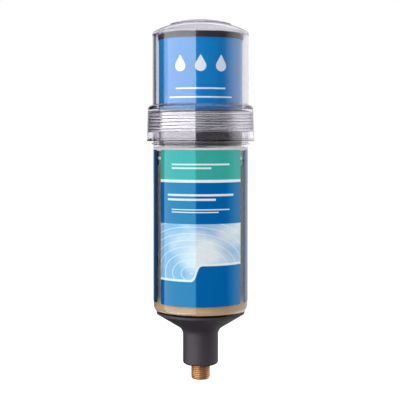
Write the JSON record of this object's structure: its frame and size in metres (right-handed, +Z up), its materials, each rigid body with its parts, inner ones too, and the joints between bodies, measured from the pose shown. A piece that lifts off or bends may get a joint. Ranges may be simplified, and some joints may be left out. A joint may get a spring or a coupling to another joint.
{
  "type": "automatic lubricator",
  "caption": "Electro-mechanical grease lubricator: a battery drive under a clear screw-on cover turns a spindle that moves a piston down a clear cartridge and feeds grease through a thread.",
  "frame": {"origin": "centre of the nozzle's end face, where the outlet thread begins", "axes": "+Z up the common axis from the outlet to the cover's top, -Y towards the front label"},
  "size_m": [0.0726, 0.0726, 0.2426],
  "materials": {
    "clear_plastic": "clear moulded plastic, polished",
    "black_plastic": "fine moulded texture",
    "natural_plastic": "smooth moulded",
    "white_gear_plastic": "smooth moulded",
    "outlet_brass": "turned",
    "nut_brass": "turned",
    "bright_steel": "turned",
    "black_rubber": "moulded",
    "grease": "soft and glossy",
    "front_film": "printed film: a teal band, a white line, a blue band, a pale field and a blue foot",
    "rear_film": "printed film, dark blue",
    "drive_film": "printed film, blue",
    "motor_steel": "drawn and plated",
    "cell_jacket": "printed sleeve",
    "contact_steel": "plated spring strip",
    "board_laminate": "solder mask",
    "green_lens": "tinted",
    "yellow_lens": "tinted",
    "red_lens": "tinted",
    "dial_plastic": "smooth moulded"
  },
  "bodies": {
    "lubricator": {"outlet_nipple": "outlet_brass", "support_flange": "black_plastic", "outlet_seal": "black_rubber", "cartridge_body": "clear_plastic", "front_label": "front_film", "rear_label": "rear_film", "grease_charge": "grease", "idler_axle": "bright_steel", "gear_plate": "black_plastic", "gear_plate_screws": "bright_steel", "motor_can": "motor_steel", "motor_end_cap": "natural_plastic", "battery_holder": "natural_plastic", "battery_cell_1": "cell_jacket", "battery_cell_2": "cell_jacket", "battery_cell_3": "cell_jacket", "lower_contacts": "contact_steel", "upper_contacts": "contact_steel", "circuit_board": "board_laminate", "rotary_switch": "black_plastic", "green_lamp": "green_lens", "yellow_lamp": "yellow_lens", "red_lamp": "red_lens", "drive_housing": "black_plastic", "neck_seal": "black_rubber", "top_plate": "black_plastic", "top_plate_screws": "bright_steel", "drive_label": "drive_film"},
    "piston": {"piston_body": "natural_plastic", "piston_lower_lip": "black_rubber", "piston_upper_lip": "black_rubber", "piston_nut": "nut_brass"},
    "spindle": {"spindle": "bright_steel", "output_gear": "white_gear_plastic"},
    "idler": {"idler_gear": "white_gear_plastic"},
    "motor_rotor": {"motor_pinion": "nut_brass", "motor_shaft": "bright_steel"},
    "dial": {"selector_dial": "dial_plastic"},
    "cover": {"clear_cover": "clear_plastic"}
  },
  "joints": [
    {"name": "cover_lift", "type": "slide", "parent": "lubricator", "child": "cover", "axis": [0, 0, 1], "range_m": [0, 0.075]},
    {"name": "dial_turn", "type": "hinge", "parent": "lubricator", "child": "dial", "pos_m": [0, 0, 0.2215], "axis": [0, 0, 1], "range_deg": [0, 270]},
    {"name": "piston_travel", "type": "slide", "parent": "lubricator", "child": "piston", "axis": [0, 0, -1], "range_m": [0, 0.087], "deforming": ["grease_charge"]},
    {"name": "spindle_turn", "type": "hinge", "parent": "lubricator", "child": "spindle", "pos_m": [0, 0, 0.15], "axis": [0, 0, 1], "range_deg": [0, 6265]},
    {"name": "idler_turn", "type": "hinge", "parent": "lubricator", "child": "idler", "pos_m": [0.014, 0, 0.157], "axis": [0, 0, 1], "range_deg": [-18795, 0]},
    {"name": "motor_turn", "type": "hinge", "parent": "lubricator", "child": "motor_rotor", "pos_m": [0, 0, 0.158], "axis": [0, 0, 1], "range_deg": [0, 56385]}
  ],
  "couplings": [
    {"joint": "spindle_turn", "follows": "piston_travel", "rad_per_m": 1256.6},
    {"joint": "idler_turn", "follows": "piston_travel", "rad_per_m": -3769.9},
    {"joint": "motor_turn", "follows": "piston_travel", "rad_per_m": 11310}
  ]
}
